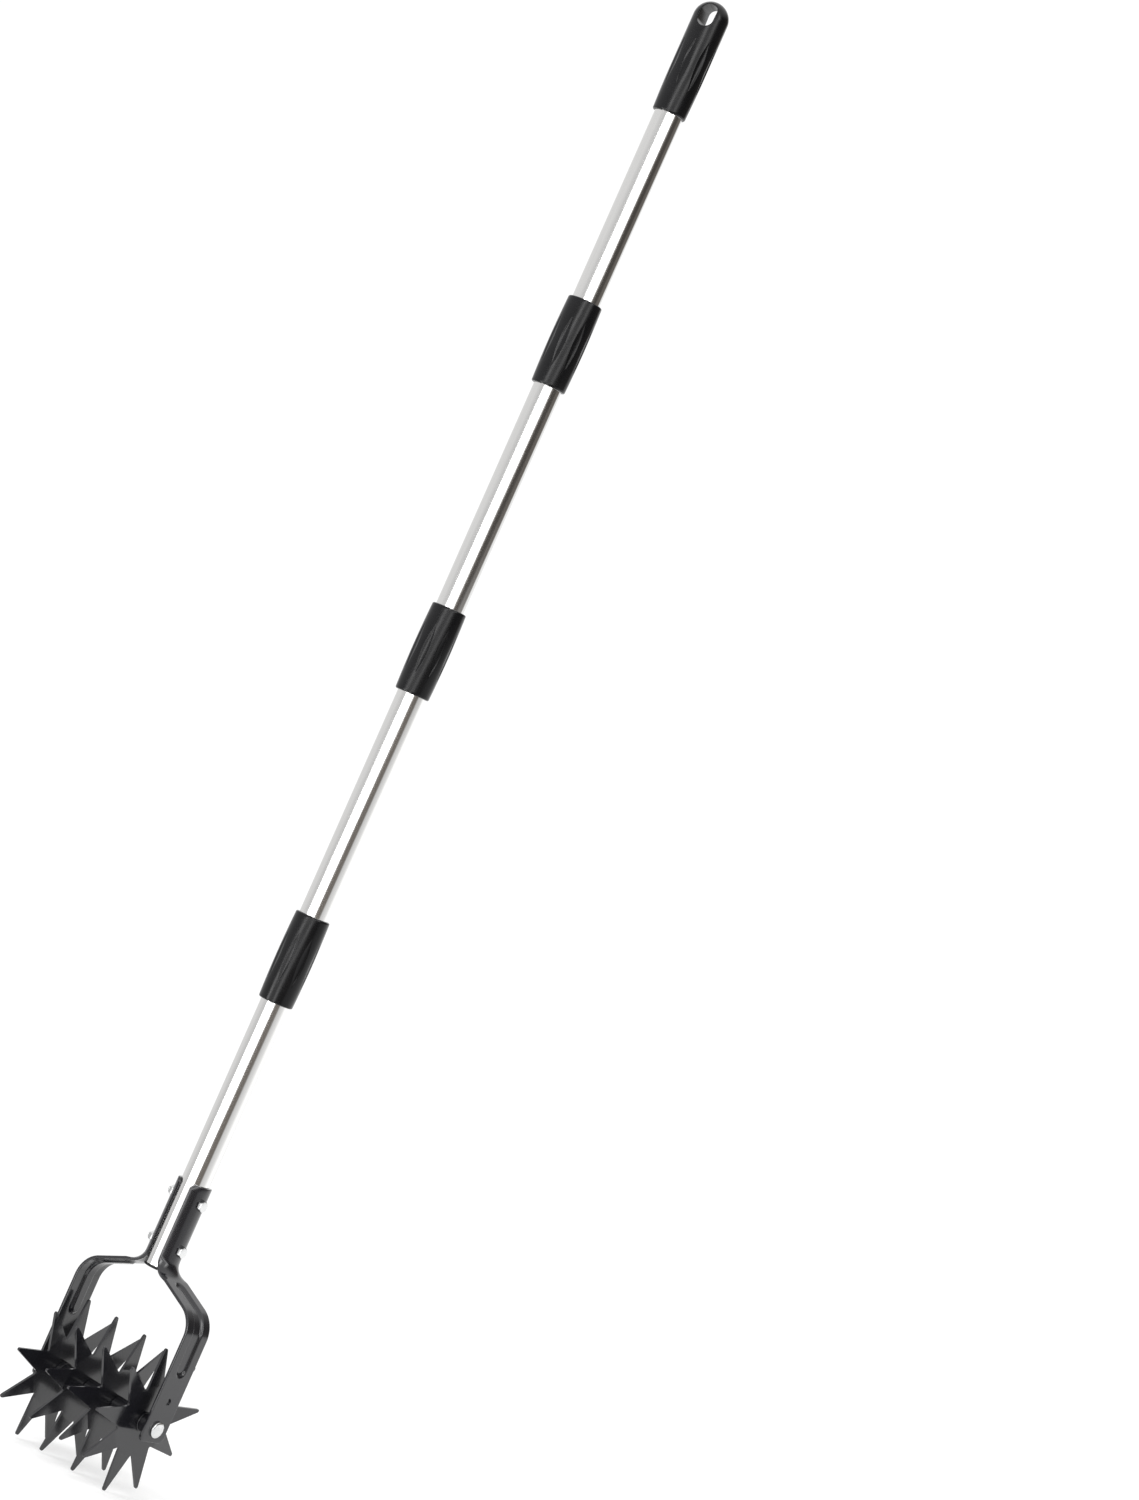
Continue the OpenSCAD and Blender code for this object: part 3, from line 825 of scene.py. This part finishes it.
def polished_stainless():
    """Fine lines along the tube, fainter buffing rings round it and a slight clouding."""
    material, nodes, shader, place = new_material("polished_stainless")
    drawn = nodes.add("ShaderNodeMapping", {"Vector": place, "Scale": (1400.0, 1400.0, 18.0)})
    lines = nodes.noise(drawn.outputs[0], 1.0, 3.0)
    buff = nodes.add("ShaderNodeMapping", {"Vector": place, "Scale": (60.0, 60.0, 900.0)})
    rings = nodes.noise(buff.outputs[0], 1.0)
    cloud = nodes.noise(place, 22.0, 3.0)
    uneven = nodes.math("ADD", nodes.math("MULTIPLY", lines, 0.6), nodes.math("MULTIPLY", cloud, 0.4))
    relief = nodes.math("ADD", lines, nodes.math("MULTIPLY", rings, 0.5))
    nodes.feed(shader, {
        "Base Color": nodes.mix(lines, (0.76, 0.755, 0.745, 1), (0.84, 0.835, 0.825, 1)),
        "Roughness": nodes.spread(uneven, 0.3, 0.7, 0.06, 0.12),
        "Normal": nodes.bump(relief, 0.03, 0.0001),
        "Metallic": 1.0})
    return material


stainless = polished_stainless()


def upright(z):
    return Matrix.Translation((0, 0, z))


section_bodies = {1: "pole_1", 2: "pole_2", 3: "pole_3", 4: "head"}
for number, body in section_bodies.items():
    node = f"tube_{number}"
    low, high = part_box(node)
    outline = rounded(ring(tube_r, tube_r - tube_wall, high.z - low.z), 0.0003)
    tube = lathe(f"pole_tube_{number}", outline, upright(low.z), 128)
    coat(tube, stainless)
    belongs(tube, body, "stainless", node)


# ------------------------------------------------------------------ screwed joints and end plug
# Moulded black nylon: a stud with a coarse thread is pressed into the head of each lower tube,
# a socket into the foot of each upper one, and a plug closes the foot of the lowest tube.
stud_pitch = 0.0025
stud_bore_r = 0.007
stud_r = 0.010
stud_flange = 0.003
stud_lip = 0.0003
stud_chamfer = 0.0008
stud_thread_l = 0.030
stud_end = 0.0012
plug_l = 0.017
plug_flange = 0.0025
plug_dish = 0.0004
plug_lead = 0.0015


def moulded_black(name, low_dull, high_dull, grain):
    """Black plastic as it leaves a polished mould: faint flow marks, fine grain and a soft gloss."""
    material, nodes, shader, place = new_material(name)
    flow = nodes.noise(place, 30.0, 3.0, Distortion=1.2)
    speck = nodes.noise(place, 1600.0)
    nodes.feed(shader, {
        "Base Color": nodes.mix(flow, (0.0035, 0.0035, 0.004, 1), (0.0065, 0.0065, 0.0072, 1)),
        "Roughness": nodes.spread(flow, 0.3, 0.7, low_dull, high_dull),
        "Normal": nodes.bump(speck, grain, 0.0003),
        "Specular IOR Level": 0.27})
    return material


black_nylon = moulded_black("black_nylon", 0.32, 0.42, 0.10)
plug_r = tube_r - tube_wall
for number in (1, 2, 3):
    node = f"thread_stud_{number}"
    low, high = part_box(node)
    total = high.z - low.z
    top = total - stud_thread_l
    foot = top - stud_flange
    outline = [(stud_bore_r, 0), (plug_r - stud_chamfer, 0), (plug_r, stud_chamfer), (plug_r, foot),
               (tube_r - stud_lip, foot), (tube_r, foot + stud_lip),
               (tube_r, top - stud_lip), (tube_r - stud_lip, top)]
    outline += fine_rows(stud_r, top, total - stud_end, stud_pitch / 10)
    outline += [(stud_r - stud_end, total), (stud_bore_r, total)]
    stud = threaded(f"thread_stud_{number}_moulded", outline, upright(low.z), black_nylon,
                    stud_pitch, 0.0014, stud_r - 0.0002, top + run_out, total + run_out, 96)
    belongs(stud, section_bodies[number + 1], "black_plastic", node)

    node = f"thread_socket_{number}"
    low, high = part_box(node)
    outline = rounded(ring(plug_r, stud_r + 0.00008, high.z - low.z), 0.0005)
    socket = lathe(f"thread_socket_{number}_moulded", outline, upright(low.z))
    coat(socket, black_nylon)
    belongs(socket, section_bodies[number], "black_plastic", node)

outline = [(0, plug_dish), (tube_r - 0.004, plug_dish), (tube_r - 0.0032, 0), (tube_r - 0.0006, 0)]
outline += [(tube_r - 0.0002, 0.0002), (tube_r, 0.0006), (tube_r, plug_flange), (plug_r, plug_flange)]
outline += [(plug_r, plug_l - 0.001), (plug_r - plug_lead, plug_l), (0, plug_l)]
plug = lathe("tube_end_plug_moulded", outline, upright(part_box("tube_end_plug")[0].z))
coat(plug, black_nylon)
belongs(plug, "head", "black_plastic", "tube_end_plug")


# ------------------------------------------------------------------ coupling sleeves
# A moulded black sleeve covers each joint, fixed to the upper tube. Its sides are slightly
# barrelled, its ends rounded, and eight shallow leaf-shaped flutes round it give a hand hold.
flutes = 8
flute_turn = math.radians(19.3)
flute_half = 0.0245
flute_depth = 0.0008
flute_half_w = 0.0033
sleeve_bulge = 0.0008
sleeve_edge = 0.0016
sleeve_lip = 0.0004
sleeve_rows = 110
edge_arc = 6
fluted_steps = 320


def flute_tree():
    """Presses leaf-shaped flutes into the outside of an upright turned piece."""
    tree = geometry_tree("pressed_flutes", {
        "Flutes": "Int", "First Turn": "Float", "Middle": "Float", "Half Length": "Float",
        "Half Width": "Float", "Depth": "Float", "Inner Radius": "Float", "Material": "Material"})
    nodes = NodeTree(tree)
    given = nodes.add("NodeGroupInput").outputs
    place = nodes.add("GeometryNodeInputPosition").outputs[0]
    x, y, z = nodes.add("ShaderNodeSeparateXYZ", {0: place}).outputs
    r = from_axis(nodes, x, y)
    step = nodes.math("DIVIDE", math.tau, given["Flutes"])
    turned = nodes.math("SUBTRACT", nodes.math("ARCTAN2", y, x), given["First Turn"])
    half_step = nodes.math("DIVIDE", step, 2.0)
    off = nodes.math("SUBTRACT", nodes.math("FLOORED_MODULO", nodes.math("ADD", turned, half_step), step),
                     half_step)
    along = nodes.math("DIVIDE", nodes.math("SUBTRACT", z, given["Middle"]), given["Half Length"])
    taper = nodes.math("MAXIMUM", nodes.math("SUBTRACT", 1.0, nodes.math("MULTIPLY", along, along)), 0.001)
    half_w = nodes.math("MULTIPLY", given["Half Width"], taper)
    across = nodes.math("DIVIDE", nodes.math("MULTIPLY", off, r), half_w)
    hollow = nodes.math("MAXIMUM", nodes.math("SUBTRACT", 1.0, nodes.math("MULTIPLY", across, across)), 0.0)
    bowl = nodes.math("MULTIPLY", hollow, nodes.math("POWER", taper, 0.7))
    outside = nodes.math("GREATER_THAN", r, given["Inner Radius"])
    cut = nodes.math("MULTIPLY", nodes.math("MULTIPLY", bowl, given["Depth"]), outside)
    sink(nodes, given, (x, y, z), r, cut)
    return tree


pressed_flutes = flute_tree()
gloss_black = moulded_black("moulded_black", 0.14, 0.19, 0.012)


def fluted(piece, middle):
    return run_tree(piece, pressed_flutes, {
        "Flutes": flutes, "First Turn": flute_turn, "Middle": middle, "Half Length": flute_half,
        "Half Width": flute_half_w, "Depth": flute_depth, "Inner Radius": tube_r + 0.001,
        "Material": gloss_black})


def sleeve_outline(length, r, bore_r):
    """Half section of a sleeve: barrelled side, rounded ends, plain bore."""
    half = length / 2
    end_r = r - sleeve_bulge
    reach = half - sleeve_edge
    side = []
    for k in range(sleeve_rows + 1):
        s = 2 * k / sleeve_rows - 1
        side.append((end_r + sleeve_bulge * (1 - s * s), s * reach))
    foot = arc((end_r - sleeve_edge, -reach), sleeve_edge, -90, 0, edge_arc)[:-1]
    head = arc((end_r - sleeve_edge, reach), sleeve_edge, 0, 90, edge_arc)[1:]
    lower_lip = [(bore_r, -half + sleeve_lip), (bore_r + sleeve_lip, -half)]
    upper_lip = [(r, -h) for r, h in reversed(lower_lip)]
    return lower_lip + foot + side + head + upper_lip


for number in (1, 2, 3):
    node = f"coupling_sleeve_{number}"
    low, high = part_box(node)
    outline = sleeve_outline(high.z - low.z, (high.x - low.x) / 2, tube_r + 0.00008)
    sleeve = lathe(f"coupling_sleeve_{number}_moulded", outline, Matrix.Identity(4), fluted_steps)
    fluted(sleeve, 0.0)
    sleeve.data.transform(upright((low.z + high.z) / 2))
    soften(sleeve.data, 50)
    belongs(sleeve, section_bodies[number], "black_plastic", node)


# ------------------------------------------------------------------ end grip
# The same moulding closed by a dome, glued over the head of the top tube. A long round-ended
# slot goes through it above the tube, so that the tool can hang on a hook.
slot_turn = math.radians(17.5)
slot_w = 0.0156
slot_h = 0.0236
slot_below_top = 0.0165
slot_lip = 0.0012
lip_steps = 7
cutter_past = 0.012
grip_flute_middle = 0.050
swell_rows = 60

low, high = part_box("end_grip")
grip_l, grip_r = high.z - low.z, (high.x - low.x) / 2
grip_foot_r = grip_r - sleeve_bulge
socket_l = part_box("tube_1")[1].z - low.z
outline = [(tube_r, sleeve_lip), (tube_r + sleeve_lip, 0)]
outline += arc((grip_foot_r - sleeve_edge, sleeve_edge), sleeve_edge, -90, 0, edge_arc)
swell = grip_l * 0.35
for k in range(1, swell_rows):
    t = k / swell_rows
    r = grip_foot_r + sleeve_bulge * math.sin(t * math.pi / 2)
    outline.append((r, sleeve_edge + (swell - sleeve_edge) * t))
straight = grip_l - grip_r
outline += fine_rows(grip_r, swell, straight, 0.0008)
outline += arc((0, straight), grip_r, 2, 90, 40)
outline += [(0, socket_l), (tube_r, socket_l)]
grip = lathe("end_grip_moulded", outline, Matrix.Identity(4), fluted_steps)
fluted(grip, grip_flute_middle)


def slot_cutter():
    """A round-ended bar across the grip whose two mouths open out, to leave rounded rims."""
    reach = (slot_h - slot_w) / 2
    centre_h = grip_l - slot_below_top
    loop = [(math.cos(math.radians(a)), math.sin(math.radians(a)), 1 if a <= 180 else -1)
            for a in list(range(0, 181, 5)) + list(range(180, 361, 5))]
    flare_out = []
    for k in range(lip_steps + 1):
        a = math.radians(90 * k / lip_steps)
        flare_out.append((slot_lip * (1 - math.cos(a)), slot_lip * (1 - math.sin(a)), 0))
    flare_out.append((slot_lip, 0, cutter_past))
    rings = [(-1, *step) for step in reversed(flare_out)] + [(1, *step) for step in flare_out]
    vertices = []
    for mouth, wider, sunk, beyond in rings:
        for cx, cz, end in loop:
            x = cx * (slot_w / 2 + wider)
            h = centre_h + end * reach + cz * (slot_w / 2 + wider)
            skin = grip_r ** 2 - max(0.0, h - (grip_l - grip_r)) ** 2 - x ** 2
            vertices.append((x, mouth * (math.sqrt(max(skin, 1e-8)) - sunk + beyond), h))
    count = len(loop)
    faces = [tuple(range(count)), tuple(range((len(rings) - 1) * count, len(rings) * count))]
    for k in range(len(rings) - 1):
        for c in range(count):
            nxt = (c + 1) % count
            faces.append((k * count + c, k * count + nxt, (k + 1) * count + nxt, (k + 1) * count + c))
    bar = new_mesh("slot_cutter", vertices, faces)
    bar.data.transform(Matrix.Rotation(slot_turn, 4, "Z"))
    return bar


cut_away(grip, slot_cutter())
grip.data.transform(upright(low.z))
coat(grip, gloss_black)
soften(grip.data, 50)
belongs(grip, "pole_1", "black_plastic", "end_grip")


# ------------------------------------------------------------------ floor
# A plain white studio floor under the lowest points. It fades away into the white room beyond
# the tool, so that neither the eye nor the polished tubes meet its edge.
floor_half = 2
fade_start = 0.35
fade_end = 0.8

corners = [(-1, -1), (1, -1), (1, 1), (-1, 1)]
floor = new_mesh("floor", [(x * floor_half, y * floor_half, 0) for x, y in corners], [(0, 1, 2, 3)])
floor.location.z = cad_low.z - 0.0005


def fading_white():
    """Matt white paper that gives off a little light of its own and turns clear further out."""
    material, nodes, shader, place = new_material("studio_white")
    nodes.feed(shader, {"Base Color": (0.93, 0.93, 0.93, 1), "Roughness": 0.9})
    away = nodes.add("ShaderNodeVectorMath", {0: place}, operation="LENGTH").outputs["Value"]
    gone = nodes.spread(away, fade_start, fade_end, interpolation_type="SMOOTHSTEP")
    glow = nodes.add("ShaderNodeEmission", {"Color": (1, 1, 1, 1), "Strength": 1.05})
    pale = nodes.add("ShaderNodeMixShader", {0: 0.55, 1: shader.outputs[0], 2: glow.outputs[0]})
    nothing = nodes.add("ShaderNodeBsdfTransparent")
    mixed = nodes.add("ShaderNodeMixShader", {0: gone, 1: pale.outputs[0], 2: nothing.outputs[0]})
    nodes.feed(material.node_tree.nodes["Material Output"], {"Surface": mixed.outputs[0]})
    return material


coat(floor, fading_white())
floor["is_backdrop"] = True


# ------------------------------------------------------------------ studio light
# A white room round the tool, with a tall soft box and a dark gap beside it that stand askew and
# give the polished tubes their bands, and one soft lamp overhead that throws the faint shadows.
camera_turn = 35.0
lean_per_rise = 170.0
soft_box = [(-46, 0.66), (-42, 1.5), (-38, 6.5), (-31, 6.5), (-26, 1.4), (0, 1.4), (4, 4.5), (10, 4.5),
            (16, 1.5)]
lower_bands = [(-180, 0.85), (-90, 0.80), (-60, 0.66)] + soft_box + [
    (22, 0.19), (57, 0.17), (66, 0.70), (100, 0.90), (122, 1.30), (180, 1.20)]
upper_bands = [(-180, 0.85), (-90, 0.80), (-60, 0.64)] + soft_box + [
    (25, 0.17), (36, 0.075), (60, 0.065), (72, 0.13), (102, 0.15), (110, 0.95), (180, 1.10)]


def band_ramp(nodes, share, bands):
    """Brightness by direction: bands holds (degrees past the camera, brightness)."""
    ramp = nodes.add("ShaderNodeValToRGB", {"Fac": share})
    stops = ramp.color_ramp.elements
    stops.remove(stops[-1])
    for k, (degrees, level) in enumerate(bands):
        stop = stops[0] if k == 0 else stops.new(degrees / 360 + 0.5)
        stop.position = degrees / 360 + 0.5
        warm = 1.10 if level < 0.2 else 1.0
        stop.color = (level * warm, level, level / warm, 1)
    return ramp.outputs[0]


def studio():
    """The bands by direction, white overhead, and plain white where the camera looks past the tool."""
    world = bpy.data.worlds.new("studio")
    bpy.context.scene.world = world
    world.use_nodes = True
    tree = world.node_tree
    tree.nodes.clear()
    nodes = NodeTree(tree)
    way = nodes.add("ShaderNodeTexCoord").outputs["Generated"]
    x, y, z = nodes.add("ShaderNodeSeparateXYZ", {0: way}).outputs
    turn = nodes.math("ARCTAN2", x, nodes.math("MULTIPLY", y, -1.0))
    rise = nodes.math("MINIMUM", nodes.math("MAXIMUM", z, -0.12), 0.25)
    lean = nodes.math("MULTIPLY", rise, -math.radians(lean_per_rise))
    past = nodes.math("ADD", nodes.math("SUBTRACT", turn, math.radians(camera_turn)), lean)
    share = nodes.math("FRACT", nodes.math("ADD", nodes.math("DIVIDE", past, math.tau), 0.5))
    higher = nodes.spread(z, 0.01, 0.05, interpolation_type="SMOOTHSTEP")
    bands = nodes.mix(higher, band_ramp(nodes, share, lower_bands), band_ramp(nodes, share, upper_bands))
    overhead = nodes.spread(z, 0.45, 0.85, interpolation_type="SMOOTHSTEP")
    room = nodes.mix(overhead, bands, (1.1, 1.1, 1.1, 1))
    seen = nodes.add("ShaderNodeLightPath").outputs["Is Camera Ray"]
    plain = nodes.mix(seen, room, (1.05, 1.05, 1.05, 1))
    light = nodes.add("ShaderNodeBackground", {"Color": plain, "Strength": 1.0})
    nodes.add("ShaderNodeOutputWorld", {"Surface": light.outputs[0]})


studio()
lamp_data = bpy.data.lights.new("soft_lamp", "AREA")
lamp_data.shape, lamp_data.size, lamp_data.energy = "DISK", 0.9, 22
lamp = bpy.data.objects.new("soft_lamp", lamp_data)
bpy.context.scene.collection.objects.link(lamp)
lamp.location = (-0.7, -0.9, 1.9)
lamp.visible_glossy = False
lamp.rotation_euler = (Vector((0, 0, 0.2)) - lamp.location).to_track_quat("-Z", "Y").to_euler()


# ------------------------------------------------------------------ camera
# A long lens at the height of the pole's middle, turned to the right of the tool and rolled so
# that the pole leans from lower left to upper right.
camera_at = Vector((2.1369, -2.7768, 0.7319))
camera_aim = Vector((0.1287, 0.0902, 0.8020))
camera_roll = math.radians(23.84)
view_height = math.radians(22.826)

camera_data = bpy.data.cameras.new("camera")
camera = bpy.data.objects.new("camera", camera_data)
bpy.context.scene.collection.objects.link(camera)
camera_data.sensor_width = 36
camera_data.lens = camera_data.sensor_width / 2 / math.tan(view_height / 2)
camera.location = camera_at
aim = (camera_aim - camera_at).to_track_quat("-Z", "Y").to_matrix().to_4x4()
camera.matrix_world = Matrix.Translation(camera_at) @ aim @ Matrix.Rotation(camera_roll, 4, "Z")
camera_data.clip_end = 50
bpy.context.scene.camera = camera
bpy.context.scene.view_settings.view_transform = "Standard"

low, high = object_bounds()
